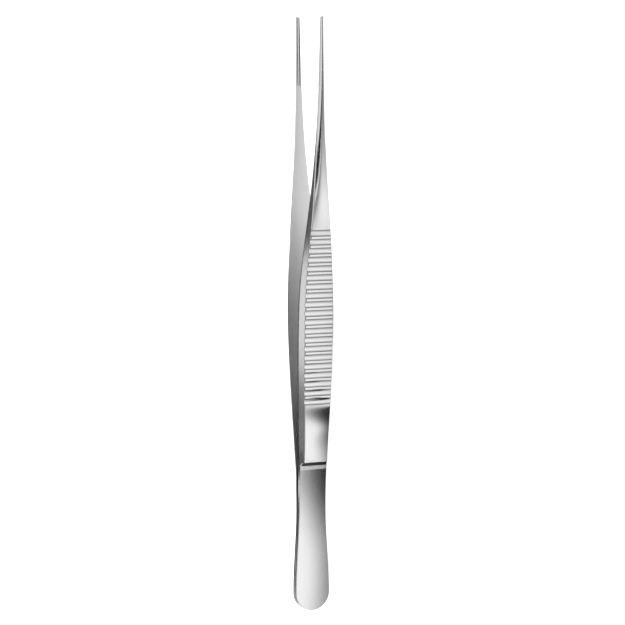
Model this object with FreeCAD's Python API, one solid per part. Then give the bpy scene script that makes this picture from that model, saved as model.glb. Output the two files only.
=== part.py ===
import FreeCAD, Part
import math
import os

# Straight tissue forceps with fine-toothed jaws, about 200 mm long, in stainless steel.
# Two forged legs lie face to face at the heel, where they are welded, and spring apart towards the tips.
# Each leg is a thin paddle and spring, a thick fluted grip behind a shoulder, a slender taper and a jaw.
# One jaw carries a single row of fine teeth between two grooves, and the other two rows beside one groove.
# Frame: +Y points to the tips, +X through the leg with two rows of teeth, +Z up.
# The forceps lie on their side, and the origin is the centre of the box they fill, at its bottom.
# All sizes are in millimetres, and stations are distances from the heel end along Y.

# Lengths along a leg, one after the other from the heel end to the tip
paddle_length = 9.1
fused_length = 21.3
parting_length = 7.1
spring_length = 13.2
plain_length = 19.2
flute_count = 20
flute_pitch = 2.98
neck_length = 22.9
shank_length = 24.6
jaw_length = 23.0

# Where the grip is widest and where it starts to draw in, as shares of the fluted length
widest_share = 0.42
drawn_in_share = 0.72

# Width of the inner face, from side to side
paddle_width = 12.5
fused_end_width = 10.3
waist_width = 10.1
shoulder_width = 10.95
flutes_start_width = 12.3
grip_width = 13.6
drawn_in_width = 12.5
neck_width = 9.0
shank_width = 4.65
jaw_width = 2.1
tip_width = 1.15

# Distance of the inner face from the plane between the legs
waist_gap = 0.15
shoulder_gap = 0.85
flutes_start_gap = 2.1
grip_gap = 3.4
drawn_in_gap = 4.2
neck_gap = 5.35
shank_gap = 6.95
jaw_gap = 7.8
tip_gap = 8.35

# Thickness from the inner face to the back, of the spring and of the thick part
heel_thickness = 1.1
spring_thickness = 1.2
shoulder_thickness = 2.8
flutes_start_thickness = 2.95
grip_thickness = 2.85
drawn_in_thickness = 2.65
neck_thickness = 2.55
shank_thickness = 1.6
jaw_thickness = 1.3
tip_thickness = 0.9

# How far each side leans in between the inner face and the back
waist_lean = 0.2
shoulder_lean = 1.1
flutes_start_lean = 1.3
grip_lean = 1.6
drawn_in_lean = 1.45
neck_lean = 0.95
shank_lean = 0.33
jaw_lean = 0.12
tip_lean = 0.08

# Ground edge between side and back
grip_bevel = 0.15
neck_bevel = 0.22
tip_bevel = 0.1

# Rise of the rounded back over its edges
grip_crown = 0.04
neck_crown = 0.12
shank_crown = 0.6
jaw_crown = 0.6
tip_crown = 0.4

# Shoulder, flutes and round ends
shoulder_fillet = 1.5
flute_width = 2.25
flute_depth = 0.42
heel_ease = 0.08
tip_ease = 0.02
nose_radius = 0.5

# Toothed jaw faces: a row of teeth on one jaw faces a groove on the other, in a middle strip
# and in the strip on each side of it
middle_strip_width = 0.54
side_strip_width = 0.27
groove_depth = 0.32
tooth_pitch = 0.5
tooth_notch_width = 0.4
tooth_notch_depth = 0.17

# Working values for the construction: spacing of the blank's sections, how far the cutters reach
# past the middle, stock left inside the inner face before it is cut, and steps along a curve
section_step = 0.6 * grip_width
cutting_reach = tip_gap + grip_width
blank_allowance = tip_thickness
curve_steps = 200

# Stations worked out from the lengths
paddle_station = paddle_length
fused_end = paddle_station + fused_length
waist_station = fused_end + parting_length
shoulder_station = waist_station + spring_length
flutes_start = shoulder_station + plain_length
fluted_length = flute_count * flute_pitch
grip_station = flutes_start + widest_share * fluted_length
drawn_in_station = flutes_start + drawn_in_share * fluted_length
neck_station = flutes_start + fluted_length
shank_station = neck_station + neck_length
jaw_station = shank_station + shank_length
tip_station = jaw_station + jaw_length


class SmoothCurve:
    """A size that changes along a leg: a natural cubic through (station, size) points."""

    def __init__(self, points):
        self.stations = [station for station, _ in points]
        self.sizes = [size for _, size in points]
        self.bends = self.solve_bends()

    def solve_bends(self):
        """The curvature at each point that keeps slope and curvature even through it."""
        count = len(self.stations)
        spans = [b - a for a, b in zip(self.stations, self.stations[1:])]
        slopes = [(b - a) / span for a, b, span in zip(self.sizes, self.sizes[1:], spans)]
        carry = [0.0] * count
        bends = [0.0] * count
        for i in range(1, count - 1):
            pivot = 2.0 * (spans[i - 1] + spans[i]) - spans[i - 1] * carry[i - 1]
            carry[i] = spans[i] / pivot
            bends[i] = (6.0 * (slopes[i] - slopes[i - 1]) - spans[i - 1] * bends[i - 1]) / pivot
        for i in range(count - 2, 0, -1):
            bends[i] -= carry[i] * bends[i + 1]
        return bends

    def at(self, station):
        """The size at a station."""
        last = len(self.stations) - 2
        i = min(last, max(0, sum(known <= station for known in self.stations) - 1))
        span = self.stations[i + 1] - self.stations[i]
        b = (station - self.stations[i]) / span
        a = 1.0 - b
        bend = (a**3 - a) * self.bends[i] + (b**3 - b) * self.bends[i + 1]
        return a * self.sizes[i] + b * self.sizes[i + 1] + bend * span**2 / 6.0


# The sizes that change along a leg
width = SmoothCurve([
    (0.0, paddle_width),
    (paddle_station, paddle_width),
    (fused_end, fused_end_width),
    (waist_station, waist_width),
    (shoulder_station, shoulder_width),
    (flutes_start, flutes_start_width),
    (grip_station, grip_width),
    (drawn_in_station, drawn_in_width),
    (neck_station, neck_width),
    (shank_station, shank_width),
    (jaw_station, jaw_width),
    (tip_station, tip_width),
])
gap = SmoothCurve([
    (0.0, 0.0),
    (fused_end, 0.0),
    (waist_station, waist_gap),
    (shoulder_station, shoulder_gap),
    (flutes_start, flutes_start_gap),
    (grip_station, grip_gap),
    (drawn_in_station, drawn_in_gap),
    (neck_station, neck_gap),
    (shank_station, shank_gap),
    (jaw_station, jaw_gap),
    (tip_station, tip_gap),
])
thickness = SmoothCurve([
    (0.0, shoulder_thickness),
    (shoulder_station, shoulder_thickness),
    (flutes_start, flutes_start_thickness),
    (grip_station, grip_thickness),
    (drawn_in_station, drawn_in_thickness),
    (neck_station, neck_thickness),
    (shank_station, shank_thickness),
    (jaw_station, jaw_thickness),
    (tip_station, tip_thickness),
])
lean = SmoothCurve([
    (0.0, 0.0),
    (fused_end, 0.0),
    (waist_station, waist_lean),
    (shoulder_station, shoulder_lean),
    (flutes_start, flutes_start_lean),
    (grip_station, grip_lean),
    (drawn_in_station, drawn_in_lean),
    (neck_station, neck_lean),
    (shank_station, shank_lean),
    (jaw_station, jaw_lean),
    (tip_station, tip_lean),
])
bevel = SmoothCurve([
    (0.0, grip_bevel),
    (grip_station, grip_bevel),
    (neck_station, neck_bevel),
    (tip_station, tip_bevel),
])
crown = SmoothCurve([
    (0.0, grip_crown),
    (grip_station, grip_crown),
    (neck_station, neck_crown),
    (shank_station, shank_crown),
    (jaw_station, jaw_crown),
    (tip_station, tip_crown),
])
spring_face = SmoothCurve([
    (fused_end, heel_thickness),
    (waist_station, waist_gap + spring_thickness),
    (shoulder_station, shoulder_gap + spring_thickness),
    (flutes_start, flutes_start_gap + spring_thickness),
])


def vector(x, y, z=0.0):
    """A point or direction."""
    return FreeCAD.Vector(x, y, z)


def stations_between(start, end):
    """Evenly spaced stations from start to end, about one section step apart."""
    count = max(2, round((end - start) / section_step))
    return [start + (end - start) * i / count for i in range(count + 1)]


def spline(points, start_way, end_way):
    """A smooth edge through points, with its direction given at both ends."""
    curve = Part.BSplineCurve()
    curve.interpolate(Points=points, InitialTangent=start_way, FinalTangent=end_way)
    return curve.toShape()


def arc(first, middle, last):
    """A round edge through three points."""
    return Part.Arc(first, middle, last).toShape()


def crowned_edge(first, crest, last):
    """A softly rounded edge from first to last that rises to the crest halfway."""
    curve = Part.BezierCurve()
    curve.setPoles([first, crest * 2.0 - (first + last) * 0.5, last])
    return curve.toShape()


def blank_section(station):
    """The leg's section: a plain floor, leaning sides, ground edges and a rounded back."""
    inner_x = gap.at(station)
    half_width = width.at(station) / 2.0
    edge = bevel.at(station)
    rise = crown.at(station)
    side_height = thickness.at(station) - rise - edge
    side_lean = lean.at(station) * side_height / (side_height + edge)
    floor_x = inner_x - blank_allowance
    floor_z = half_width + blank_allowance * side_lean / side_height
    side_top = half_width - side_lean
    back_edge = side_top - edge
    back_x = inner_x + side_height + edge
    corners = [
        vector(floor_x, station, floor_z),
        vector(inner_x + side_height, station, side_top),
        vector(back_x, station, back_edge),
    ]
    mirrored = [vector(p.x, p.y, -p.z) for p in corners]
    crest = vector(back_x + rise, station, 0.0)
    edges = [
        Part.makeLine(mirrored[0], corners[0]),
        Part.makeLine(corners[0], corners[1]),
        Part.makeLine(corners[1], corners[2]),
        crowned_edge(corners[2], crest, mirrored[2]),
        Part.makeLine(mirrored[2], mirrored[1]),
        Part.makeLine(mirrored[1], mirrored[0]),
    ]
    return Part.Wire(edges)


def make_blank():
    """The forged bar, at full thickness from the heel to the tip."""
    bends = [0.0, shoulder_station, neck_station, jaw_station, tip_station]
    stations = [0.0]
    for start, end in zip(bends, bends[1:]):
        stations += stations_between(start, end)[1:]
    return Part.makeLoft([blank_section(station) for station in stations], True, False)


def shoulder_arc():
    """The concave round between the spring's outer face and the shoulder, from the shoulder down."""
    probe = shoulder_station - shoulder_fillet
    step = section_step / curve_steps
    slope = math.atan((spring_face.at(probe + step) - spring_face.at(probe - step)) / (2.0 * step))
    foot_y = probe + shoulder_fillet * math.sin(slope)
    foot = vector(spring_face.at(foot_y), foot_y)
    centre = foot + vector(math.cos(slope), -math.sin(slope)) * shoulder_fillet
    top = centre + vector(0.0, shoulder_fillet)
    turn = (math.pi / 2.0 + math.pi - slope) / 2.0
    middle = centre + vector(math.cos(turn), math.sin(turn)) * shoulder_fillet
    return arc(top, middle, foot), top, foot, vector(-math.sin(slope), -math.cos(slope))


def make_side_tool():
    """The leg seen from the side: flat weld face, bowed inner face, round nose, shoulder and thin spring."""
    heel_inner = vector(0.0, 0.0)
    weld_inner = vector(0.0, fused_end)
    jaw_root = vector(jaw_gap, jaw_station)
    jaw_tip = vector(tip_gap, tip_station)
    inner_points = [vector(gap.at(s), s) for s in stations_between(fused_end, jaw_station)]
    inner = spline(inner_points, vector(0.0, 1.0), jaw_tip - jaw_root)
    nose_y = tip_station - nose_radius
    nose_x = gap.at(nose_y) + thickness.at(nose_y) + tip_ease
    nose_top = vector(nose_x - nose_radius, tip_station)
    nose_side = vector(nose_x, nose_y)
    half_turn = nose_radius * math.sqrt(0.5)
    nose_middle = vector(nose_x - nose_radius + half_turn, nose_y + half_turn)
    round_edge, shoulder_top, spring_end, spring_way = shoulder_arc()
    spring_points = [vector(spring_face.at(s), s) for s in stations_between(fused_end, spring_end.y)]
    spring_points[0] = vector(heel_thickness, fused_end)
    spring_points.reverse()
    weld_outer = vector(heel_thickness, fused_end)
    heel_outer = vector(heel_thickness, 0.0)
    edges = [
        Part.makeLine(heel_inner, weld_inner),
        inner,
        Part.makeLine(jaw_root, jaw_tip),
        Part.makeLine(jaw_tip, nose_top),
        arc(nose_top, nose_middle, nose_side),
        Part.makeLine(nose_side, vector(cutting_reach, nose_y)),
        Part.makeLine(vector(cutting_reach, nose_y), vector(cutting_reach, shoulder_top.y)),
        Part.makeLine(vector(cutting_reach, shoulder_top.y), shoulder_top),
        round_edge,
        spline(spring_points, spring_way, vector(0.0, -1.0)),
        Part.makeLine(weld_outer, heel_outer),
        Part.makeLine(heel_outer, heel_inner),
    ]
    face = Part.Face(Part.Wire(edges))
    face.translate(vector(0.0, 0.0, -cutting_reach))
    return face.extrude(vector(0.0, 0.0, 2.0 * cutting_reach))


def make_plan_tool():
    """The leg seen from its back: only the round heel and the round tip, wide open between them."""
    heel = paddle_width / 2.0 + heel_ease
    tip = tip_width / 2.0 + tip_ease
    tip_y = tip_station - tip
    edges = [
        arc(vector(0.0, heel, -heel), vector(0.0, 0.0, 0.0), vector(0.0, heel, heel)),
        Part.makeLine(vector(0.0, heel, heel), vector(0.0, heel, cutting_reach)),
        Part.makeLine(vector(0.0, heel, cutting_reach), vector(0.0, tip_y, cutting_reach)),
        Part.makeLine(vector(0.0, tip_y, cutting_reach), vector(0.0, tip_y, tip)),
        arc(vector(0.0, tip_y, tip), vector(0.0, tip_station, 0.0), vector(0.0, tip_y, -tip)),
        Part.makeLine(vector(0.0, tip_y, -tip), vector(0.0, tip_y, -cutting_reach)),
        Part.makeLine(vector(0.0, tip_y, -cutting_reach), vector(0.0, heel, -cutting_reach)),
        Part.makeLine(vector(0.0, heel, -cutting_reach), vector(0.0, heel, -heel)),
    ]
    face = Part.Face(Part.Wire(edges))
    face.translate(vector(-cutting_reach, 0.0))
    return face.extrude(vector(2.0 * cutting_reach, 0.0))


def flute_tools():
    """One round cutter for each finger flute across the back of the grip."""
    radius = (flute_width**2 / 4.0 + flute_depth**2) / (2.0 * flute_depth)
    tools = []
    for i in range(flute_count):
        station = flutes_start + (i + 0.5) * flute_pitch
        centre_x = gap.at(station) + thickness.at(station) - flute_depth + radius
        start = vector(centre_x, station, -cutting_reach)
        tools.append(Part.makeCylinder(radius, 2.0 * cutting_reach, start, vector(0.0, 0.0, 1.0)))
    return tools


def jaw_frame():
    """The jaw's root on the inner face, the way to its tip and the way into the metal."""
    root = vector(jaw_gap, jaw_station)
    along = vector(tip_gap, tip_station) - root
    along.normalize()
    return root, along, vector(along.y, -along.x)


def groove_tool(centre_z, groove_width):
    """A cutter for one long groove in the jaw face, round at the root and open at the tip."""
    root, along, into = jaw_frame()
    radius = groove_width / 2.0
    outer = root - into * blank_allowance + vector(0.0, 0.0, centre_z)
    start = outer + along * radius
    depth = blank_allowance + groove_depth
    end_mill = Part.makeCylinder(radius, depth, start, into)
    side = vector(0.0, 0.0, radius)
    run = along * (jaw_length + blank_allowance)
    corners = [start - side, start + side, start + side + run, start - side + run, start - side]
    slot = Part.Face(Part.makePolygon(corners)).extrude(into * depth)
    return end_mill.fuse(slot)


def tooth_tools(centre_z, row_width):
    """V-shaped cutters that leave one row of fine teeth along the jaw face."""
    root, along, into = jaw_frame()
    count = int(jaw_length / tooth_pitch)
    side = vector(0.0, 0.0, row_width / 2.0)
    reach = along * tooth_notch_width
    tools = []
    for i in range(1, count):
        middle = root + along * (i * tooth_pitch) + vector(0.0, 0.0, centre_z) - side
        tip = middle + into * tooth_notch_depth
        top = middle - into * tooth_notch_depth
        notch = Part.Face(Part.makePolygon([top - reach, tip, top + reach, top - reach]))
        tools.append(notch.extrude(side * 2.0))
    return tools


def make_fluted_leg():
    """One leg on the +X side with its flutes, before its jaw face is cut."""
    leg = make_blank().common(make_side_tool()).common(make_plan_tool())
    return leg.cut(flute_tools())


def cut_jaw(leg, grooves, rows):
    """The leg with grooves and rows of teeth, each given by its place across the jaw face and its width."""
    leg = leg.cut([groove_tool(place, across) for place, across in grooves])
    for place, across in rows:
        leg = leg.cut(tooth_tools(place, across))
    return leg.Solids[0]


def place_on_side(shape):
    """The shape moved so that the origin is at the bottom centre of the whole forceps."""
    along = [tip_station * i / curve_steps for i in range(curve_steps + 1)]
    half_height = max(width.at(station) for station in along) / 2.0
    shape.translate(vector(0.0, -tip_station / 2.0, half_height))
    return shape


def main():
    os.makedirs("parts", exist_ok=True)
    side_place = (middle_strip_width + side_strip_width) / 2.0
    middle_strip = [(0.0, middle_strip_width)]
    side_strips = [(-side_place, side_strip_width), (side_place, side_strip_width)]
    leg = make_fluted_leg()
    double_row = cut_jaw(leg, grooves=middle_strip, rows=side_strips)
    single_row = cut_jaw(leg, grooves=side_strips, rows=middle_strip)
    single_row = single_row.mirror(vector(0.0, 0.0), vector(1.0, 0.0))
    place_on_side(double_row).exportStep("parts/double_row_leg.step")
    place_on_side(single_row).exportStep("parts/single_row_leg.step")


main()
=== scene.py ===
"""Straight fine-toothed tissue forceps in satin stainless steel, lying on their side on a white studio floor.

Each leg is swept as one fine mesh from the sizes of its forging, so that its edges are softly broken, its
flutes are round and its teeth are cut, and it stands for the leg of the frame that it follows.
"""

import logging
import math
from dataclasses import dataclass, field
from enum import Enum
from functools import cached_property
from typing import Any, Optional, Union

import bmesh
import bpy
from mathutils import Matrix, Vector


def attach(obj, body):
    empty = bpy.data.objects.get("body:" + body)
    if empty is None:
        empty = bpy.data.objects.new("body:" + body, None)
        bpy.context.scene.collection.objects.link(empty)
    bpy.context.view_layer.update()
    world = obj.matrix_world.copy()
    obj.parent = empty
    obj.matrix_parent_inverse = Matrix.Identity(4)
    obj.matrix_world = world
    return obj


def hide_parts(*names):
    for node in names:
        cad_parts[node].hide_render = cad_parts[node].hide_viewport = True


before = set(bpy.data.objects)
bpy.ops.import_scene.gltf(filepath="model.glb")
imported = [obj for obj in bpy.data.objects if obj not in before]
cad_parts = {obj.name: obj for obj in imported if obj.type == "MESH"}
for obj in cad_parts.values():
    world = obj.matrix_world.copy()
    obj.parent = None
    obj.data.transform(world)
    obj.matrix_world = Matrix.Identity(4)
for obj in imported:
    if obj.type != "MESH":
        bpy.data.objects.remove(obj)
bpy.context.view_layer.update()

log = logging.getLogger("forceps")

MM = 0.001
WHITE = (1.0, 1.0, 1.0, 1.0)

# Names of the attributes that meshes carry to their materials.
FLUTE_PLACE = "flute_place"
# Painted shade, as a share of full brightness, which darkens the steel's colour.
PAINTED_SHADE_ATTRIBUTE = "painted_shade_share"
INK = "ink"

Point = tuple[float, float]
Triple = tuple[float, float, float]
Key = Union[str, int]
NodeLink = tuple[bpy.types.Node, Key]


def linear_colour(hex_colour: str) -> tuple[float, float, float, float]:
    """Turn a colour as a designer writes it into the linear values that the shader needs.

    Args:
        hex_colour: An sRGB colour such as "#D8DADB".

    Returns:
        Linear red, green and blue, with full opacity.
    """
    # The curve of the sRGB standard: a straight foot and a power above it.
    values = []
    for start in (1, 3, 5):
        share = int(hex_colour[start:start + 2], 16) / 255.0
        values.append(share / 12.92 if share <= 0.04045 else ((share + 0.055) / 1.055) ** 2.4)
    return values[0], values[1], values[2], 1.0


def soft_minimum(first: float, second: float, blend: float) -> float:
    """Return the lower of two heights, rounded off where they cross.

    Args:
        first: One height.
        second: The other height.
        blend: How close the two are where the rounding starts.

    Returns:
        The lower height, eased by at most a quarter of the blend.
    """
    if blend <= 0.0:
        return min(first, second)
    near = max(blend - abs(first - second), 0.0) / blend
    return min(first, second) - near * near * blend / 4.0


def smooth_share(value: float, start: float, end: float) -> float:
    """Return 0 at the start, 1 at the end and an even, smooth rise between them."""
    share = max(0.0, min(1.0, (value - start) / (end - start)))
    return share * share * (3.0 - 2.0 * share)


def evenly(start: float, end: float, step: float) -> list[float]:
    """Return stations from start up to, but without, end, about one step apart."""
    count = max(1, round((end - start) / step))
    return [start + (end - start) * i / count for i in range(count)]


class SmoothCurve:
    """A size that changes along a leg: a natural cubic through (station, size) points."""

    def __init__(self, points: list[Point]) -> None:
        """Keep the points and work out the curvature at each one.

        Args:
            points: Stations from the heel end and the size at each, in millimetres.
        """
        self.stations = [station for station, _ in points]
        self.sizes = [size for _, size in points]
        self.bends = self._solve_bends()

    def _solve_bends(self) -> list[float]:
        """Solve the equations of a natural cubic.

        Returns:
            The curvature at each point, which keeps slope and curvature even through it.
        """
        count = len(self.stations)
        spans = [b - a for a, b in zip(self.stations, self.stations[1:])]
        slopes = [(b - a) / span for a, b, span in zip(self.sizes, self.sizes[1:], spans)]
        carry = [0.0] * count
        bends = [0.0] * count
        # Down the rows to clear what lies below the diagonal, then back up.
        for i in range(1, count - 1):
            pivot = 2.0 * (spans[i - 1] + spans[i]) - spans[i - 1] * carry[i - 1]
            carry[i] = spans[i] / pivot
            bends[i] = (6.0 * (slopes[i] - slopes[i - 1]) - spans[i - 1] * bends[i - 1]) / pivot
        for i in range(count - 2, 0, -1):
            bends[i] -= carry[i] * bends[i + 1]
        return bends

    def at(self, station: float) -> float:
        """Read the size off the curve.

        Args:
            station: Distance from the heel end, in millimetres.

        Returns:
            The size at that station.
        """
        last = len(self.stations) - 2
        i = min(last, max(0, sum(known <= station for known in self.stations) - 1))
        span = self.stations[i + 1] - self.stations[i]
        b = (station - self.stations[i]) / span
        a = 1.0 - b
        bend = (a**3 - a) * self.bends[i] + (b**3 - b) * self.bends[i + 1]
        return a * self.sizes[i] + b * self.sizes[i + 1] + bend * span**2 / 6.0


class JawPattern(Enum):
    """What is cut across a jaw face, from its middle outwards."""

    SINGLE_ROW = "one row of teeth between two grooves"
    DOUBLE_ROW = "two rows of teeth beside one groove"


class Side(Enum):
    """Which side of the plane between the legs a leg lies on, as the sign of X."""

    PLUS_X = 1.0
    MINUS_X = -1.0


@dataclass(frozen=True)
class Forging:
    """The sizes of one leg, in millimetres, with stations counted from the heel end along the leg."""

    # Lengths in order from the heel to the tip, with the flutes between pad and neck.
    paddle_length: float = 9.1
    fused_length: float = 21.3
    parting_length: float = 7.1
    spring_length: float = 13.2
    plain_length: float = 19.2
    flute_count: int = 20
    flute_pitch: float = 2.98
    neck_length: float = 22.9
    shank_length: float = 24.6
    jaw_length: float = 23.0

    # Where along the flutes the grip is widest, and where it has started to draw in.
    widest_share: float = 0.42
    drawn_in_share: float = 0.72

    # Thicknesses, the shoulder and the flutes.
    heel_thickness: float = 1.1
    spring_thickness: float = 1.2
    shoulder_fillet: float = 1.5
    flute_width: float = 2.25
    flute_depth: float = 0.42

    # Round ends, seen from the back, and the nose where the back drops to the tip.
    heel_radius: float = 6.33
    tip_radius: float = 0.595
    nose_radius: float = 0.5
    nose_lift: float = 0.02

    # Softly broken edges.
    heel_edge_round: float = 0.3
    grip_edge_round: float = 0.07
    taper_edge_round: float = 0.05
    inner_edge_round: float = 0.15
    jaw_edge_round: float = 0.02
    flute_edge_blend: float = 0.05
    shoulder_edge_round: float = 0.08

    @cached_property
    def paddle_station(self) -> float:
        """Where the paddle starts to narrow."""
        return self.paddle_length

    @cached_property
    def fused_end(self) -> float:
        """Where the weld ends."""
        return self.paddle_station + self.fused_length

    @cached_property
    def waist_station(self) -> float:
        """Where the spring is narrowest."""
        return self.fused_end + self.parting_length

    @cached_property
    def shoulder_station(self) -> float:
        """Where the thick part starts."""
        return self.waist_station + self.spring_length

    @cached_property
    def flutes_start(self) -> float:
        """Where the fluted grip starts."""
        return self.shoulder_station + self.plain_length

    @cached_property
    def fluted_length(self) -> float:
        """Length of the fluted grip."""
        return self.flute_count * self.flute_pitch

    @cached_property
    def grip_station(self) -> float:
        """Where the grip is widest."""
        return self.flutes_start + self.widest_share * self.fluted_length

    @cached_property
    def drawn_in_station(self) -> float:
        """Where the grip has started to draw in."""
        return self.flutes_start + self.drawn_in_share * self.fluted_length

    @cached_property
    def neck_station(self) -> float:
        """Where the flutes end and the taper starts."""
        return self.flutes_start + self.fluted_length

    @cached_property
    def shank_station(self) -> float:
        """Where the slender shank starts."""
        return self.neck_station + self.neck_length

    @cached_property
    def jaw_station(self) -> float:
        """Where the toothed jaw starts."""
        return self.shank_station + self.shank_length

    @cached_property
    def tip_station(self) -> float:
        """The end of the tip."""
        return self.jaw_station + self.jaw_length

    def _along_grip(self, sizes: tuple[float, ...]) -> list[Point]:
        """Pair seven sizes with the stations from the start of the flutes to the tip."""
        stations = (
            self.flutes_start, self.grip_station, self.drawn_in_station, self.neck_station,
            self.shank_station, self.jaw_station, self.tip_station,
        )
        return list(zip(stations, sizes))

    @cached_property
    def width(self) -> SmoothCurve:
        """Width of the inner face, from side to side."""
        heel = [
            (0.0, 12.5), (self.paddle_station, 12.5), (self.fused_end, 10.3),
            (self.waist_station, 10.1), (self.shoulder_station, 10.95),
        ]
        return SmoothCurve(heel + self._along_grip((12.3, 13.6, 12.5, 9.0, 4.65, 2.1, 1.15)))

    @cached_property
    def widest_half(self) -> float:
        """Half of the greatest width, which is how high the middle of the leg lies over the floor."""
        probe_step = 0.5
        return max(self.width.at(station) for station in evenly(0.0, self.tip_station, probe_step)) / 2.0

    @cached_property
    def gap(self) -> SmoothCurve:
        """Distance of the inner face from the plane between the legs."""
        heel = [(0.0, 0.0), (self.fused_end, 0.0), (self.waist_station, 0.15), (self.shoulder_station, 0.85)]
        return SmoothCurve(heel + self._along_grip((2.1, 3.4, 4.2, 5.35, 6.95, 7.8, 8.35)))

    @cached_property
    def thickness(self) -> SmoothCurve:
        """Thickness of the thick part, from the inner face to the crest of the back."""
        heel = [(0.0, 2.8), (self.shoulder_station, 2.8)]
        return SmoothCurve(heel + self._along_grip((2.95, 2.85, 2.65, 2.55, 1.6, 1.3, 0.9)))

    @cached_property
    def lean(self) -> SmoothCurve:
        """How far each side leans in between the inner face and the back."""
        heel = [(0.0, 0.0), (self.fused_end, 0.0), (self.waist_station, 0.2), (self.shoulder_station, 1.1)]
        return SmoothCurve(heel + self._along_grip((1.3, 1.6, 1.45, 0.95, 0.33, 0.12, 0.08)))

    @cached_property
    def bevel(self) -> SmoothCurve:
        """Size of the ground edge between side and back."""
        return SmoothCurve([
            (0.0, 0.15), (self.grip_station, 0.15), (self.neck_station, 0.22), (self.tip_station, 0.1),
        ])

    @cached_property
    def crown(self) -> SmoothCurve:
        """Rise of the rounded back over its edges."""
        return SmoothCurve([
            (0.0, 0.04), (self.grip_station, 0.04), (self.neck_station, 0.12),
            (self.shank_station, 0.6), (self.jaw_station, 0.6), (self.tip_station, 0.4),
        ])

    @cached_property
    def spring_face(self) -> SmoothCurve:
        """Outer face of the thin spring."""
        return SmoothCurve([
            (self.fused_end, self.heel_thickness),
            (self.waist_station, self.gap.at(self.waist_station) + self.spring_thickness),
            (self.shoulder_station, self.gap.at(self.shoulder_station) + self.spring_thickness),
            (self.flutes_start, self.gap.at(self.flutes_start) + self.spring_thickness),
        ])

    @cached_property
    def fillet_centre(self) -> Point:
        """Work out the centre of the round below the shoulder, which touches the spring.

        Returns:
            The centre's station and X.
        """
        probe = self.shoulder_station - self.shoulder_fillet
        nudge = 0.05
        rise = self.spring_face.at(probe + nudge) - self.spring_face.at(probe - nudge)
        slope = math.atan(rise / (2.0 * nudge))
        foot = probe + self.shoulder_fillet * math.sin(slope)
        centre_x = self.spring_face.at(foot) + self.shoulder_fillet * math.cos(slope)
        return foot - self.shoulder_fillet * math.sin(slope), centre_x

    @cached_property
    def flute_radius(self) -> float:
        """Radius of the round finger flutes."""
        return (self.flute_width**2 / 4.0 + self.flute_depth**2) / (2.0 * self.flute_depth)

    def inner_x(self, station: float) -> float:
        """Work out where the inner face is, which is flat at the weld and along the jaw.

        Args:
            station: Distance from the heel end, in millimetres.

        Returns:
            The X of the inner face.
        """
        if station <= self.fused_end:
            return 0.0
        if station <= self.jaw_station:
            return self.gap.at(station)
        root, tip = self.gap.at(self.jaw_station), self.gap.at(self.tip_station)
        return root + (tip - root) * (station - self.jaw_station) / self.jaw_length

    def cut_x(self, station: float) -> float:
        """Return the X down to which the back is cut away, or a far one where it is left whole.

        Args:
            station: Distance from the heel end, in millimetres.

        Returns:
            The outer face of the paddle, spring, shoulder round, flute or nose at that station.
        """
        if station <= self.fused_end:
            return self.heel_thickness
        if station < self.shoulder_station:
            return self._spring_x(station)
        if self.flutes_start < station < self.neck_station:
            return self._flute_x(station)
        nose_station = self.tip_station - self.nose_radius
        if station > nose_station:
            crest = self.gap.at(nose_station) + self.thickness.at(nose_station) + self.nose_lift
            run = min(station - nose_station, self.nose_radius)
            return crest - self.nose_radius + math.sqrt(self.nose_radius**2 - run**2)
        return self._shoulder_edge_x(station)

    def _spring_x(self, station: float) -> float:
        """Work out where the spring's outer face is, or the round that rises to the shoulder.

        Args:
            station: Distance from the heel end, in millimetres.

        Returns:
            The X of the outer one of the two.
        """
        centre_station, centre_x = self.fillet_centre
        spring = self.spring_face.at(station)
        run = station - centre_station
        if run <= 0.0:
            return spring
        run = min(run, self.shoulder_fillet)
        return max(spring, centre_x - math.sqrt(self.shoulder_fillet**2 - run**2))

    def _shoulder_edge_x(self, station: float) -> float:
        """Work out where the softly broken edge of the shoulder is.

        Args:
            station: Distance from the heel end, in millimetres.

        Returns:
            Its X, or a far one past it.
        """
        run = station - self.shoulder_station
        radius = self.shoulder_edge_round
        if run >= radius:
            return math.inf
        crest = self.gap.at(station) + self.thickness.at(station)
        return crest - radius + math.sqrt(radius**2 - (radius - run) ** 2)

    def _flute_x(self, station: float) -> float:
        """Work out where the round floor of the nearest finger flute is.

        Args:
            station: Distance from the heel end, in millimetres.

        Returns:
            Its X, or a far one outside its circle.
        """
        place = (station - self.flutes_start) / self.flute_pitch
        middle = self.flutes_start + (math.floor(place) + 0.5) * self.flute_pitch
        run = abs(station - middle)
        if run >= self.flute_radius:
            return math.inf
        floor_x = self.gap.at(middle) + self.thickness.at(middle) - self.flute_depth
        return floor_x + self.flute_radius - math.sqrt(self.flute_radius**2 - run**2)

    def flute_place(self, station: float) -> float:
        """Tell how far across its flute a station lies.

        Args:
            station: Distance from the heel end, in millimetres.

        Returns:
            A place from -1 to 1, and 0 on the lands between flutes.
        """
        place = (station - self.flutes_start) / self.flute_pitch
        off = (place - math.floor(place) - 0.5) * self.flute_pitch / (self.flute_width / 2.0)
        return off if abs(off) <= 1.0 else 0.0

    def edge_round(self, station: float) -> float:
        """Tell how far the edge between side and back is broken.

        Args:
            station: Distance from the heel end, in millimetres.

        Returns:
            The width of the break on each side of the edge.
        """
        if station < self.shoulder_station:
            return self.heel_edge_round
        if station < self.neck_station:
            return self.grip_edge_round
        return self.taper_edge_round


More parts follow.
